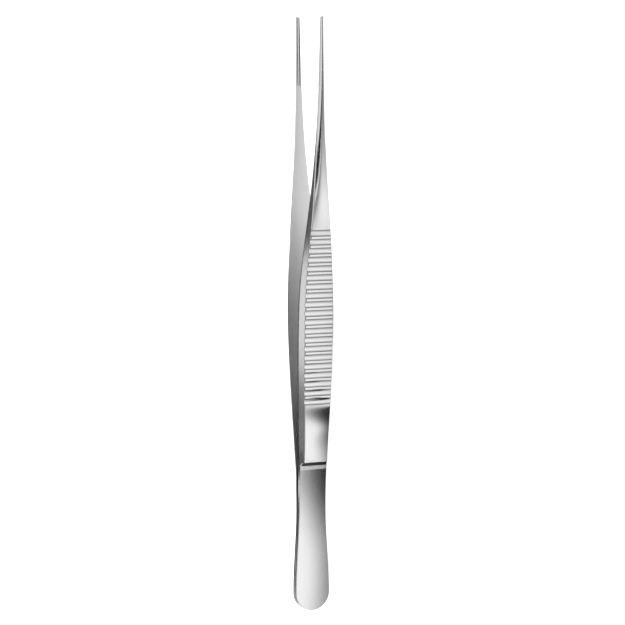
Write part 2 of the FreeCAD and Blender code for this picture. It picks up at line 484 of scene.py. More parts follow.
@dataclass(frozen=True)
class JawCut:
    """The strips of a jaw face, grooves and rows of teeth in turn, in millimetres.

    The root angles, in degrees, are where the mesh follows the round root of a groove.
    """

    middle_width: float = 0.54
    side_width: float = 0.27
    groove_depth: float = 0.32
    tooth_pitch: float = 0.5
    notch_half_width: float = 0.2
    notch_depth: float = 0.17
    wall_slope: float = 0.012
    root_angles: tuple[float, ...] = (0.0, 20.0, 40.0, 60.0, 90.0)

    @staticmethod
    def groove_half_width(radius: float, run: float) -> float:
        """Return half the width of a groove with a round root of a radius, a run past the jaw's root."""
        inside = max(0.0, min(run, radius))
        return math.sqrt(radius**2 - (radius - inside) ** 2)

    def tooth_depth(self, run: float, length: float) -> float:
        """Return how deep the V-cuts of a row are, a run past the jaw's root.

        Args:
            run: Distance from the jaw's root.
            length: Length of the jaw.

        Returns:
            The depth below the jaw face, which is 0 on the crest of a tooth.
        """
        last = int(length / self.tooth_pitch) - 1
        nearest = min(last, max(1, round(run / self.tooth_pitch)))
        off = abs(run - nearest * self.tooth_pitch)
        return max(0.0, self.notch_depth * (1.0 - off / self.notch_half_width))

    def stations(self, radius: float, length: float) -> list[float]:
        """List where the jaw face changes along its length.

        Args:
            radius: Radius of the round root of its grooves.
            length: Length of the jaw.

        Returns:
            The runs past the jaw's root, from the grooves' round root on.
        """
        runs = [radius * (1.0 - math.cos(math.radians(angle))) for angle in self.root_angles]
        for i in range(1, int(length / self.tooth_pitch)):
            middle = i * self.tooth_pitch
            runs += [middle - self.notch_half_width, middle, middle + self.notch_half_width]
        return sorted(set(runs))


@dataclass(frozen=True)
class PlanPoint:
    """A point of the leg's outline seen from its back, with the way inwards from it."""

    station: float
    half_width: float
    inward_y: float = 0.0
    inward_z: float = -1.0

    def inset(self, distance: float) -> Point:
        """Return the station and Z of the point that lies a distance inside the outline."""
        return self.station + self.inward_y * distance, self.half_width + self.inward_z * distance


class Zone(Enum):
    """Stretches of the leg's skin with different finishes, or with painted shade or light, numbered as the
    mesh's materials.
    """

    INNER_FACE = 0
    JAW_FACE = 1
    FLANK = 2
    BACK = 3
    FLUTE = 4
    PAINTED_RECESS_SHADE = 5
    SHOULDER_ROUND = 6


@dataclass
class Leg:
    """One forged leg, as a fine mesh swept from the heel to the tip.

    Steps and lengths are in millimetres, angles in degrees, and each painted shade is a share of full
    brightness.
    """

    name: str
    node: str
    side: Side
    pattern: JawPattern
    forging: Forging = field(default_factory=Forging)
    jaw: JawCut = field(default_factory=JawCut)

    # How close the sections are.
    plain_step: float = 0.7
    taper_step: float = 0.5
    fillet_step: int = 6
    heel_count: int = 28
    tip_count: int = 14
    shoulder_edge_shares: tuple[float, ...] = (-0.01, 0.0, 0.15, 0.4, 0.7, 1.0, 1.5)

    # Where the points of a section are, as shares of flank and back.
    flank_shares: tuple[float, ...] = (0.0, 0.1, 0.2, 0.5, 0.96)
    edge_columns: int = 6
    back_shares: tuple[float, ...] = (0.02, 0.1, 0.25, 0.4, 0.55, 0.7, 0.85, 1.0)

    # Which points become one, and which edges stay sharp.
    merge_distance: float = 0.0008
    sharp_angle: float = 38.0

    # How far the step painted with shade and the blended band painted light reach below the shoulder.
    step_height: float = 1.3
    blended_length: float = 2.6

    # Painted shade, as shares of full brightness: in the slot between the legs from the slot's share at its
    # first gap to full brightness at the second, darker on the first points of the flank, which are the inner
    # edge, in the jaw's grooves, on the broken edges past the shoulder and a little towards the jaw.
    slot_painted_share: float = 0.15
    slot_gaps: Point = (0.3, 0.85)
    inner_edge_points: int = 2
    least_edge_painted_share: float = 0.05
    groove_painted_share: float = 0.35
    grip_crest_painted_share: float = 0.5
    taper_crest_painted_share: float = 0.8
    jaw_painted_dimming: float = 0.15

    def build(self, finishes: dict[Zone, bpy.types.Material]) -> bpy.types.Object:
        """Build the leg's mesh, dress it and let it stand for its node.

        Args:
            finishes: The material for each zone of the skin.

        Returns:
            The finished object.
        """
        rings = [self._ring(point) for point in self._plan()]
        mesh = bpy.data.meshes.new(self.name)
        for zone in Zone:
            mesh.materials.append(finishes[zone])
        self._fill(mesh, rings)
        leg = bpy.data.objects.new(self.name, mesh)
        bpy.context.scene.collection.objects.link(leg)
        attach(leg, "root")
        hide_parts(self.node)
        return leg

    def _plan(self) -> list[PlanPoint]:
        """Work out the outline of half of the leg, seen from its back.

        Returns:
            Its points, round the heel, along the side and round the tip.
        """
        forging = self.forging
        points = self._heel_round()
        start = points[-1].station
        tip_round = self._tip_round()
        end = tip_round[0].station
        for station in self._stations(start, end):
            points.append(PlanPoint(station, forging.width.at(station) / 2.0))
        return points + tip_round

    def _heel_round(self) -> list[PlanPoint]:
        """Work out the outline of the round heel.

        Returns:
            Its points, from the end of the heel to where it meets the side.
        """
        radius = self.forging.heel_radius
        paddle_half = self.forging.width.at(0.0) / 2.0
        last_angle = math.asin(paddle_half / radius)
        points = []
        for i in range(self.heel_count + 1):
            angle = last_angle * i / self.heel_count
            station = radius * (1.0 - math.cos(angle))
            points.append(PlanPoint(station, radius * math.sin(angle), math.cos(angle), -math.sin(angle)))
        return points

    def _tip_round(self) -> list[PlanPoint]:
        """Work out the outline of the round tip.

        Returns:
            Its points, from the side to the end of the tip.
        """
        radius = self.forging.tip_radius
        centre = self.forging.tip_station - radius
        side_half = self.forging.width.at(centre) / 2.0
        first_angle = math.acos(min(1.0, side_half / radius))
        points = []
        for i in range(self.tip_count + 1):
            angle = first_angle + (math.pi / 2.0 - first_angle) * i / self.tip_count
            station = centre + radius * math.sin(angle)
            points.append(PlanPoint(station, radius * math.cos(angle), -math.sin(angle), -math.cos(angle)))
        return points

    def _stations(self, start: float, end: float) -> list[float]:
        """Space the sections between the round ends, closest where the form turns fastest.

        Args:
            start: Station where the round heel ends.
            end: Station where the round tip starts.

        Returns:
            The stations in order.
        """
        forging = self.forging
        centre, _ = forging.fillet_centre
        stations = evenly(start, centre, self.plain_step)
        stations += [forging.shoulder_station - length for length in (self.blended_length, self.step_height)]
        turns = range(0, 90, self.fillet_step)
        stations += [centre + forging.shoulder_fillet * math.sin(math.radians(turn)) for turn in turns]
        edge = forging.shoulder_edge_round
        stations += [forging.shoulder_station + edge * share for share in self.shoulder_edge_shares]
        stations += evenly(forging.shoulder_station + 2.0 * edge, forging.flutes_start, self.plain_step)
        stations += self._flute_stations()
        stations += evenly(forging.neck_station, forging.jaw_station, self.taper_step)
        groove = self.jaw.side_width if self.pattern is JawPattern.SINGLE_ROW else self.jaw.middle_width
        runs = self.jaw.stations(groove / 2.0, forging.jaw_length)
        stations += [forging.jaw_station + run for run in runs]
        margin = 0.01
        inside = [station for station in stations if start + margin < station < end - margin]
        return sorted({round(station, 5) for station in inside})

    def _flute_stations(self) -> list[float]:
        """Space the sections across the flutes, closely at both edges of each.

        Returns:
            The stations, not yet in order.
        """
        forging = self.forging
        half = forging.flute_width / 2.0
        near_edge = (-0.16, -0.1, -0.06, -0.03, 0.0, 0.03, 0.06, 0.1)
        across = (-0.8, -0.6, -0.4, -0.2, 0.0, 0.2, 0.4, 0.6, 0.8)
        stations = [forging.flutes_start]
        for i in range(forging.flute_count):
            middle = forging.flutes_start + (i + 0.5) * forging.flute_pitch
            stations += [middle - half - offset for offset in near_edge]
            stations += [middle + half * share for share in across]
            stations += [middle + half + offset for offset in near_edge]
        return stations

    def _ring(self, point: PlanPoint) -> list[Vector]:
        """Return the points round the leg's section at one point of the outline.

        Args:
            point: The outline's point, which may lie on a round end.

        Returns:
            Points from the middle of the inner face round +Z, the back and -Z, in metres.
        """
        section = Section(self, point)
        half = section.inner_face() + section.flank_and_edge() + section.back()
        ring = half + [(x, station, -z) for x, station, z in half[-2:0:-1]]
        shift = self.forging.tip_station / 2.0
        lift = self.forging.widest_half
        sign = self.side.value
        return [Vector((sign * x, station - shift, z + lift)) * MM for x, station, z in ring]

    @cached_property
    def half_count(self) -> int:
        """How many points half of a section has, from the middle of the inner face to that of the back."""
        runs = (Section.inner_names, self.flank_shares, range(self.edge_columns), self.back_shares)
        return sum(len(run) for run in runs)

    @cached_property
    def grooved_strips(self) -> range:
        """The jaw face's strips that belong to a groove, by the place of the point where each starts."""
        if self.pattern is JawPattern.SINGLE_ROW:
            return range(Section.inner_names.index("row edge"), Section.inner_names.index("land near edge"))
        return range(-1, Section.inner_names.index("groove near edge"))

    def _zone(self, column: int, station: float) -> Zone:
        """Tell which finish a face has.

        Args:
            column: The face's place round the ring, from the middle of the inner face.
            station: Distance from the heel end, in millimetres.

        Returns:
            The zone of the skin that the face lies in.
        """
        forging = self.forging
        ring_count = 2 * self.half_count - 2
        place = min(column, ring_count - 1 - column)
        if place < len(Section.inner_names) - 1:
            if station < forging.jaw_station:
                return Zone.INNER_FACE
            return Zone.PAINTED_RECESS_SHADE if place in self.grooved_strips else Zone.JAW_FACE
        if place < self.half_count - len(self.back_shares) - 1:
            return Zone.FLANK
        if forging.flutes_start < station < forging.neck_station:
            return Zone.FLUTE
        below = forging.shoulder_station - station
        if 0.0 < below < self.step_height:
            return Zone.PAINTED_RECESS_SHADE
        return Zone.SHOULDER_ROUND if 0.0 < below < self.blended_length else Zone.BACK

    @cached_property
    def inner_edge_painted_shade(self) -> SmoothCurve:
        """Painted shade along the inner edges, as a share of full brightness: darkest along the spring and
        the grip.
        """
        return SmoothCurve([
            (0.0, 1.0), (17.0, 1.0), (25.0, 0.45), (32.0, 0.22), (38.0, 0.12), (47.0, 0.12), (56.0, 0.22),
            (69.0, 0.25), (90.0, 0.08), (105.0, 0.15), (118.0, 0.3), (130.0, 0.75), (145.0, 1.0),
            (200.0, 1.0),
        ])

    def _painted_share_at(self, place: int, station: float) -> float:
        """Return how far painted shade darkens a point of the skin.

        Args:
            place: Its place round half of the section, from the middle of the inner face.
            station: Its distance from the heel end, in millimetres.

        Returns:
            A share of full brightness, low in the slot between the legs and on its edges, in the jaw's
            grooves and on the broken edges past the shoulder, and a little lower towards the jaw.
        """
        forging = self.forging
        corner = len(Section.inner_names)
        crest = corner + len(self.flank_shares)
        in_groove = all(strip in self.grooved_strips for strip in (place - 1, place))
        if station > forging.jaw_station and in_groove:
            return self.groove_painted_share
        if place < corner:
            openness = smooth_share(forging.gap.at(station), *self.slot_gaps)
            return self.slot_painted_share + (1.0 - self.slot_painted_share) * openness
        if place < corner + self.inner_edge_points:
            return max(self.least_edge_painted_share, min(1.0, self.inner_edge_painted_shade.at(station)))
        if crest <= place < crest + self.edge_columns and station > forging.shoulder_station:
            return self.grip_crest_painted_share if station < forging.neck_station else self.taper_crest_painted_share
        return 1.0 - self.jaw_painted_dimming * smooth_share(station, forging.shank_station, forging.jaw_station)

    def _fill(self, mesh: bpy.types.Mesh, rings: list[list[Vector]]) -> None:
        """Join the rings with faces, close the ends and shade the result.

        Args:
            mesh: The empty mesh to fill.
            rings: The sections, in order from the heel to the tip.
        """
        built = bmesh.new()
        across_flute = built.verts.layers.float.new(FLUTE_PLACE)
        painted_shade_layer = built.verts.layers.float.new(PAINTED_SHADE_ATTRIBUTE)
        rows = [[built.verts.new(corner) for corner in ring] for ring in rings]
        count = len(rings[0])
        shift = self.forging.tip_station / 2.0
        for row in rows:
            for i, vertex in enumerate(row):
                station = vertex.co.y / MM + shift
                vertex[across_flute] = self.forging.flute_place(station)
                # Painted shade, as a share of full brightness.
                vertex[painted_shade_layer] = self._painted_share_at(min(i, count - i), station)
        for row, following in zip(rows, rows[1:]):
            station = (row[0].co.y + following[0].co.y) / 2.0 / MM + shift
            for i in range(count):
                j = (i + 1) % count
                face = built.faces.new((row[i], row[j], following[j], following[i]))
                face.material_index = self._zone(i, station).value
                face.smooth = True
        bmesh.ops.remove_doubles(built, verts=built.verts, dist=self.merge_distance * MM)
        bmesh.ops.recalc_face_normals(built, faces=built.faces)
        built.to_mesh(mesh)
        built.free()
        mesh.set_sharp_from_angle(angle=math.radians(self.sharp_angle))


class Section:
    """The leg's section at one point of its outline.

    It runs over the inner face, up the leaning flank, over the broken edge and across the crowned back. The
    points of the inner face are named after what the jaw with a single row of teeth has there. A broken edge
    takes up at most the given shares of the half width, of the flank and of the back.
    """

    inner_names = (
        "middle", "half row", "row edge", "groove near edge", "groove middle",
        "groove far edge", "land near edge", "land middle", "corner",
    )
    most_of_half = 0.4
    most_of_flank = 0.45
    most_of_back = 0.6
    least_height = 0.01

    def __init__(self, leg: Leg, point: PlanPoint) -> None:
        """Work out the section's corners.

        Args:
            leg: The leg that the section belongs to.
            point: The outline's point.
        """
        self.leg = leg
        self.point = point
        forging = leg.forging
        station = point.station
        self.full_half = forging.width.at(station) / 2.0
        self.half = min(self.full_half, point.half_width)
        self.inner_x = forging.inner_x(station)
        self.rise = forging.crown.at(station)
        self.bevel = forging.bevel.at(station)
        self.side_height = forging.thickness.at(station) - self.rise - self.bevel
        lean = forging.lean.at(station)
        self.side_lean = lean * self.side_height / (self.side_height + self.bevel)
        self.side_top = self.full_half - self.side_lean
        self.back_edge = self.side_top - self.bevel
        broken = forging.jaw_edge_round if self._in_jaw() else forging.inner_edge_round
        self.inner_round = min(broken, self.most_of_half * self.half)

    def _in_jaw(self) -> bool:
        """Tell whether the section lies in the toothed jaw."""
        return self.point.station >= self.leg.forging.jaw_station

    def _top(self, z: float) -> float:
        """Work out how high the uncut section is.

        Args:
            z: Distance from the middle of the section, in millimetres.

        Returns:
            The height over its inner face.
        """
        if z <= self.back_edge:
            return self.side_height + self.bevel + self.rise * (1.0 - (z / self.back_edge) ** 2)
        if z <= self.side_top or self.side_lean <= 0.0:
            return self.side_height + min(self.bevel, max(0.0, self.side_top - z))
        return self.side_height * (self.full_half - z) / self.side_lean

    def _limit(self, station: float) -> float:
        """Return how high the section may be above its inner face, at a station."""
        return self.leg.forging.cut_x(station) - self.inner_x

    def _back_height(self, station: float, z: float) -> float:
        """Work out how high the finished back is.

        Args:
            station: Distance from the heel end, in millimetres.
            z: Distance from the middle of the section, in millimetres.

        Returns:
            The height over the inner face, after the cuts.
        """
        forging = self.leg.forging
        fluted = forging.flutes_start < station < forging.neck_station
        blend = forging.flute_edge_blend if fluted else 0.0
        limit = self._limit(station)
        if math.isinf(limit):
            return self._top(z)
        return soft_minimum(self._top(z), limit, blend)

    def _floor_depth(self, z: float) -> float:
        """Work out how deep the jaw face is cut.

        Args:
            z: Distance from the middle of the section, in millimetres.

        Returns:
            The depth of the groove or of the notches there, which is 0 outside the jaw.
        """
        if not self._in_jaw():
            return 0.0
        leg = self.leg
        run = self.point.station - leg.forging.jaw_station
        teeth = leg.jaw.tooth_depth(run, leg.forging.jaw_length)
        single = leg.pattern is JawPattern.SINGLE_ROW
        near, far = self._outer_cut()
        if z < self._inner_cut():
            return teeth if single else leg.jaw.groove_depth
        if z > far or z < near:
            return 0.0
        return leg.jaw.groove_depth if single else teeth

    def _inner_cut(self) -> float:
        """Work out how wide the cut in the middle of the jaw face is.

        Returns:
            Half of its width.
        """
        half = self.leg.jaw.middle_width / 2.0
        if self.leg.pattern is JawPattern.SINGLE_ROW or not self._in_jaw():
            return half
        return self.leg.jaw.groove_half_width(half, self.point.station - self.leg.forging.jaw_station)

    def _outer_cut(self) -> Point:
        """Work out where the cut beside the middle of the jaw face is.

        Returns:
            Its near and its far edge.
        """
        jaw = self.leg.jaw
        middle = (jaw.middle_width + jaw.side_width) / 2.0
        half = jaw.side_width / 2.0
        if self.leg.pattern is JawPattern.SINGLE_ROW and self._in_jaw():
            half = jaw.groove_half_width(half, self.point.station - self.leg.forging.jaw_station)
        return middle - half, middle + half

    def inner_face(self) -> list[Triple]:
        """List the section's points along half of the inner face.

        Returns:
            X, station and Z of each, from the middle to the corner.
        """
        station, edge_z = self.point.inset(self.inner_round)
        near, far = self._outer_cut()
        inner = self._inner_cut()
        slope = self.leg.jaw.wall_slope
        places = [
            0.0, 0.5 * inner, inner - slope, near + slope, 0.5 * (near + far), far - slope,
            far + slope, 0.5 * (far + edge_z), edge_z,
        ]
        if not self._in_jaw():
            root_edge = self.leg.forging.width.at(self.leg.forging.jaw_station) / 2.0
            cut_count = self.inner_names.index("land middle")
            places = [place * edge_z / root_edge for place in places[:cut_count]]
            places += [0.5 * (places[-1] + edge_z), edge_z]
        points = []
        for place in places:
            z = max(0.0, min(place, edge_z))
            points.append((self.inner_x + self._floor_depth(z), station, z))
        return points

    def flank_and_edge(self) -> list[Triple]:
        """List the section's points up the flank and over the broken edge to the back.

        Returns:
            X, station and Z of each.
        """
        low = self._floor_depth(self.half - self.inner_round)
        corner, crest = self._corners()
        broken = min(
            self.leg.forging.edge_round(self.point.station),
            self.most_of_flank * max(self.least_height, corner[0] - low),
            self.most_of_back * max(0.0, crest[1]),
        )
        start = self._on_flank(corner, low, corner[0] - broken)
        end_z = max(0.0, crest[1] - broken)
        end = (self._back_height(self.point.station, end_z), end_z)
        foot = self._on_flank(corner, low, low + self.inner_round)
        points = []
        for share in self.leg.flank_shares:
            points.append((foot[0] + (start[0] - foot[0]) * share, foot[1] + (start[1] - foot[1]) * share))
        last = self.leg.edge_columns - 1
        for i in range(self.leg.edge_columns):
            points.append(self._bezier(start, corner, crest, end, i / last))
        return [self._place(height, z) for height, z in points]

    def back(self) -> list[Triple]:
        """List the section's points over half of the back.

        Returns:
            X, station and Z of each, from the broken edge to the middle.
        """
        _, station, edge_z = self.flank_and_edge()[-1]
        places = [edge_z * (1.0 - share) for share in self.leg.back_shares]
        return [(self.inner_x + self._back_height(station, z), station, z) for z in places]

    def _corners(self) -> tuple[Point, Point]:
        """Work out the flank's top and the back's edge, after the cuts.

        Returns:
            Height and Z of both.
        """
        low_z = self.half
        side_z = min(self.side_top, self.half)
        back_z = min(self.back_edge, self.half)
        side = (self._top(side_z), side_z)
        back = (self._top(back_z), back_z)
        limit = self._limit(self.point.station)
        if limit < side[0]:
            z = low_z + (side[1] - low_z) * limit / side[0]
            return (limit, z), (limit, z)
        if limit < back[0]:
            share = (limit - side[0]) / (back[0] - side[0])
            return side, (limit, side[1] + (back[1] - side[1]) * share)
        return side, back

    def _on_flank(self, corner: Point, low: float, height: float) -> Point:
        """Find the point of the flank at a height.

        Args:
            corner: Height and Z of the flank's top.
            low: Height of its foot.
            height: The height asked for.

        Returns:
            Height and Z of the point.
        """
        share = (height - low) / max(self.least_height, corner[0] - low)
        foot_z = self.half + (corner[1] - self.half) * low / max(self.least_height, corner[0])
        return height, foot_z + (corner[1] - foot_z) * share

    def _place(self, height: float, z: float) -> Triple:
        """Return the point at a height over the inner face and a distance from the middle."""
        station, real_z = self.point.inset(self.half - z)
        return self.inner_x + height, station, max(0.0, real_z)

    @staticmethod
    def _bezier(start: Point, first: Point, second: Point, end: Point, share: float) -> Point:
        """Follow a cubic curve through two control points.

        Args:
            start: Where the curve starts.
            first: The first control point.
            second: The second control point.
            end: Where it ends.
            share: How far along it the point is, from 0 to 1.

        Returns:
            Height and Z of the point.
        """
        rest = 1.0 - share
        weights = (rest**3, 3.0 * rest * rest * share, 3.0 * rest * share * share, share**3)
        corners = (start, first, second, end)
        height = sum(weight * corner[0] for weight, corner in zip(weights, corners))
        return height, sum(weight * corner[1] for weight, corner in zip(weights, corners))


def add_node(
    tree: bpy.types.NodeTree, kind: str, settings: Optional[dict[Key, Any]] = None,
    links: Optional[dict[Key, NodeLink]] = None,
) -> bpy.types.Node:
    """Add a node to a tree, with its settings and its incoming links.

    Args:
        tree: The node tree of a material or of the world.
        kind: Blender's name of the node type.
        settings: Values by the name of an attribute, or else by the name or number of an input.
        links: A (node, output) pair by the name or number of the input that it feeds.

    Returns:
        The new node.
    """
    node = tree.nodes.new(kind)
    for name, value in (settings or {}).items():
        if isinstance(name, str) and hasattr(node, name):
            setattr(node, name, value)
        else:
            node.inputs[name].default_value = value
    for name, (source, output) in (links or {}).items():
        tree.links.new(source.outputs[output], node.inputs[name])
    return node


def new_material(name: str) -> bpy.types.Material:
    """Make a material whose node tree is empty.

    Args:
        name: The material's name.

    Returns:
        The new material.
    """
    material = bpy.data.materials.new(name)
    material.use_nodes = True
    material.node_tree.nodes.clear()
    return material


@dataclass(frozen=True)
class SteelFinish:
    """Martensitic stainless steel with one kind of ground, brushed or cut surface, in millimetres.

    The steel is neutral grey with no coat. Its grain is the trace of the belt, wheel or cutter: fine lines
    with their own colour, gloss and relief. The waves are the slight unevenness that hand grinding leaves.
    """

    name: str
    bright: str
    dull: str
    smoothest: float
    roughest: float
    grain_across: float
    grain_along: float
    grain_depth: float
    wave_length: float
    wave_depth: float
    # Painted shade across each flute, as ramp stops from one edge to the other.
    painted_wall_shades: tuple[tuple[float, str], ...] = ()
    grain_low: float = 0.25
    grain_high: float = 0.75

    def build(self) -> bpy.types.Material:
        """Build the material.

        Returns:
            A metal whose colour, gloss and relief vary with the grain.
        """
        material = new_material(self.name)
        tree = material.node_tree
        place = add_node(tree, "ShaderNodeTexCoord")
        grain = self._grain(tree, place)
        gloss_range = {
            "From Min": self.grain_low, "From Max": self.grain_high,
            "To Min": self.smoothest, "To Max": self.roughest,
        }
        gloss = add_node(tree, "ShaderNodeMapRange", gloss_range, {"Value": grain})
        shader = add_node(tree, "ShaderNodeBsdfPrincipled", {"Metallic": 1.0}, {
            "Base Color": self._with_painted_shade(tree, self._with_painted_wall_shade(tree, self._grain_colour(tree, grain))),
            "Roughness": (gloss, "Result"),
            "Normal": self._relief(tree, place, grain),
        })
        add_node(tree, "ShaderNodeOutputMaterial", links={"Surface": (shader, "BSDF")})
        return material

    def _grain(self, tree: bpy.types.NodeTree, place: bpy.types.Node) -> NodeLink:
        """Draw the lines of the grain, as long and as far apart as the finish says.

        Args:
            tree: The material's node tree.
            place: The node that gives the place on the leg.

        Returns:
            The output that gives the grain, mostly from a quarter to three quarters.
        """
        across, along = 1.0 / (self.grain_across * MM), 1.0 / (self.grain_along * MM)
        lines = add_node(
            tree, "ShaderNodeMapping", {"Scale": (across, along, across)}, {"Vector": (place, "Object")}
        )
        noise = {"Scale": 1.0, "Detail": 3.0, "Roughness": 0.6}
        return add_node(tree, "ShaderNodeTexNoise", noise, {"Vector": (lines, "Vector")}), "Fac"

    def _grain_colour(self, tree: bpy.types.NodeTree, grain: NodeLink) -> NodeLink:
        """Colour the grain from dull to bright.

        Args:
            tree: The material's node tree.
            grain: The output that gives the grain.

        Returns:
            The output that gives the colour.
        """
        ramp = add_node(tree, "ShaderNodeValToRGB", links={"Fac": grain})
        dull_stop, bright_stop = ramp.color_ramp.elements
        dull_stop.color, dull_stop.position = linear_colour(self.dull), self.grain_low
        bright_stop.color, bright_stop.position = linear_colour(self.bright), self.grain_high
        return ramp, "Color"

    def _relief(self, tree: bpy.types.NodeTree, place: bpy.types.Node, grain: NodeLink) -> NodeLink:
        """Raise the grain over the long waves of the surface.

        Args:
            tree: The material's node tree.
            place: The node that gives the place on the leg.
            grain: The output that gives the grain.

        Returns:
            The output that gives the normal.
        """
        noise = {"Scale": 1.0 / (self.wave_length * MM), "Detail": 1.0}
        waves = add_node(tree, "ShaderNodeTexNoise", noise, {"Vector": (place, "Object")})
        uneven = add_node(
            tree, "ShaderNodeBump", {"Strength": 1.0, "Distance": self.wave_depth * MM},
            {"Height": (waves, "Fac")},
        )
        relief = add_node(
            tree, "ShaderNodeBump", {"Strength": 1.0, "Distance": self.grain_depth * MM},
            {"Height": grain, "Normal": (uneven, "Normal")},
        )
        return relief, "Normal"

    @staticmethod
    def _with_painted_shade(tree: bpy.types.NodeTree, colour: NodeLink) -> NodeLink:
        """Darken the steel by the painted shade that the mesh carries.

        Args:
            tree: The material's node tree.
            colour: The output that gives the colour so far.

        Returns:
            The output that gives the darkened colour.
        """
        # The attribute holds the painted shade, as a share of full brightness.
        reach = add_node(tree, "ShaderNodeAttribute", {"attribute_name": PAINTED_SHADE_ATTRIBUTE})
        both = add_node(
            tree, "ShaderNodeVectorMath", {"operation": "MULTIPLY"}, {0: colour, 1: (reach, "Fac")}
        )
        return both, "Vector"

    def _with_painted_wall_shade(self, tree: bpy.types.NodeTree, colour: NodeLink) -> NodeLink:
        """Darken the steep walls of the flutes with painted shade.

        Args:
            tree: The material's node tree.
            colour: The output that gives the colour so far.

        Returns:
            The output that gives the darkened colour, or the same one where there are no flutes.
        """
        if not self.painted_wall_shades:
            return colour
        place = add_node(tree, "ShaderNodeAttribute", {"attribute_name": FLUTE_PLACE})
        across = add_node(tree, "ShaderNodeMapRange", {"From Min": -1.0}, {"Value": (place, "Fac")})
        walls = add_node(tree, "ShaderNodeValToRGB", links={"Fac": (across, "Result")})
        stops = walls.color_ramp.elements
        while len(stops) < len(self.painted_wall_shades):
            stops.new(1.0)
        for stop, (position, shade) in zip(stops, self.painted_wall_shades):
            stop.position, stop.color = position, linear_colour(shade)
        both = add_node(
            tree, "ShaderNodeVectorMath", {"operation": "MULTIPLY"}, {0: colour, 1: (walls, "Color")}
        )
        return both, "Vector"


# Polished on a fine wheel: keeps soft but clear reflections, with belt lines too fine to count along the leg.
# Real belt lines are a few hundredths of a millimetre apart. They are drawn at 0.12 mm, so that a pixel holds
# them.
GROUND_BACK = SteelFinish(
    "ground_steel_back", bright="#EBEBEB", dull="#DFDFDF", smoothest=0.15, roughest=0.22,
    grain_across=0.12, grain_along=3.0, grain_depth=0.0006, wave_length=7.0, wave_depth=0.004,
)
# Ground freehand along the leg: blurrier than the back, and a little darker as painted shade, so the edge
# between them reads.
GROUND_FLANK_PAINTED_SHADE = SteelFinish(
    "ground_steel_flank_painted_shade", bright="#DEDEDE", dull="#D0D0D0", smoothest=0.18, roughest=0.25,
    grain_across=0.12, grain_along=3.0, grain_depth=0.0006, wave_length=6.0, wave_depth=0.003,
)
# Brushed to an even matt satin, which spreads the light so that the inner face shades slowly along the leg.
SATIN_INNER = SteelFinish(
    "satin_steel_inner_face", bright="#E4E4E4", dull="#D9D9D9", smoothest=0.34, roughest=0.42,
    grain_across=0.15, grain_along=0.6, grain_depth=0.0012, wave_length=8.0, wave_depth=0.002,
)
# Milled across the leg and buffed. Painted shade dims the walls of each flute, which leaves a bright streak
# along its middle.
MILLED_FLUTE_PAINTED_SHADE = SteelFinish(
    "milled_steel_flute_painted_shade", bright="#EBEBEB", dull="#DFDFDF", smoothest=0.2, roughest=0.28,
    grain_across=1.5, grain_along=0.12, grain_depth=0.0006, wave_length=5.0, wave_depth=0.002,
    painted_wall_shades=(
        (0.02, "#585858"), (0.14, "#B4B4B4"), (0.32, "#FFFFFF"),
        (0.6, "#F4F4F4"), (0.84, "#B4B4B4"), (0.98, "#686868"),
    ),
)
# Crests of the teeth and the lands beside the grooves, left as the cutter made them: they sparkle in points.
CUT_JAW = SteelFinish(
    "cut_steel_jaw_face", bright="#E8E8E8", dull="#DCDCDC", smoothest=0.28, roughest=0.36,
    grain_across=0.1, grain_along=0.2, grain_depth=0.001, wave_length=4.0, wave_depth=0.001,
)
# Bottoms of the jaw's grooves and the steep step of the shoulder: dark grey painted shade in these recesses.
PAINTED_SHADE_STEEL = SteelFinish(
    "painted_shade_steel", bright="#646464", dull="#545454", smoothest=0.4, roughest=0.5,
    grain_across=0.1, grain_along=0.3, grain_depth=0.001, wave_length=4.0, wave_depth=0.001,
)
# Blended by hand with coarse emery below the shoulder: a matt band, painted white as painted light, that
# stays evenly light from side to side.
BLENDED_ROUND_PAINTED_LIGHT = SteelFinish(
    "emery_blended_steel_painted_light", bright="#FFFFFF", dull="#F4F4F4", smoothest=0.75, roughest=0.85,
    grain_across=1.5, grain_along=0.15, grain_depth=0.001, wave_length=5.0, wave_depth=0.001,
)


def staged_mesh(name: str, corners: list[Vector], faces: list[tuple[int, ...]]) -> bpy.types.Object:
    """Make a mesh that belongs to the stage.

    Args:
        name: Its name.
        corners: Its corners, in metres.
        faces: The corners of each face, by number.

    Returns:
        The new object.
    """
    mesh = bpy.data.meshes.new(name)
    mesh.from_pydata(corners, [], faces)
    piece = bpy.data.objects.new(name, mesh)
    bpy.context.scene.collection.objects.link(piece)
    return piece


def flat_sheet(name: str, centre: Triple, size: Triple) -> bpy.types.Object:
    """Make a flat sheet that belongs to the stage.

    Args:
        name: The sheet's name.
        centre: Its centre, in metres.
        size: Its size along X, Y and Z in metres, where the one across it is 0.

    Returns:
        The sheet.
    """
    spans = [Vector((size[0], 0.0, 0.0)), Vector((0.0, size[1], 0.0)), Vector((0.0, 0.0, size[2]))]
    across, along = [span / 2.0 for span in spans if span.length > 0.0]
    middle = Vector(centre)
    signs = ((-1.0, -1.0), (1.0, -1.0), (1.0, 1.0), (-1.0, 1.0))
    corners = [middle + across * first + along * second for first, second in signs]
    return staged_mesh(name, corners, [(0, 1, 2, 3)])


@dataclass(frozen=True)
class ShadeCard:
    """A flat card of matt paper that shows only in reflections, with its place and size in metres."""

    name: str
    centre: Triple
    size: Triple
    colour: str = "#202020"

    def build(self) -> bpy.types.Object:
        """Set up the card.

        Returns:
            The card, with its paper on it.
        """
        card = flat_sheet(self.name, self.centre, self.size)
        material = new_material(self.name + "_paper")
        tree = material.node_tree
        paper = add_node(tree, "ShaderNodeBsdfDiffuse", {"Color": linear_colour(self.colour)})
        add_node(tree, "ShaderNodeOutputMaterial", links={"Surface": (paper, "BSDF")})
        card.data.materials.append(material)
        show_only_in_gloss(card)
        return card


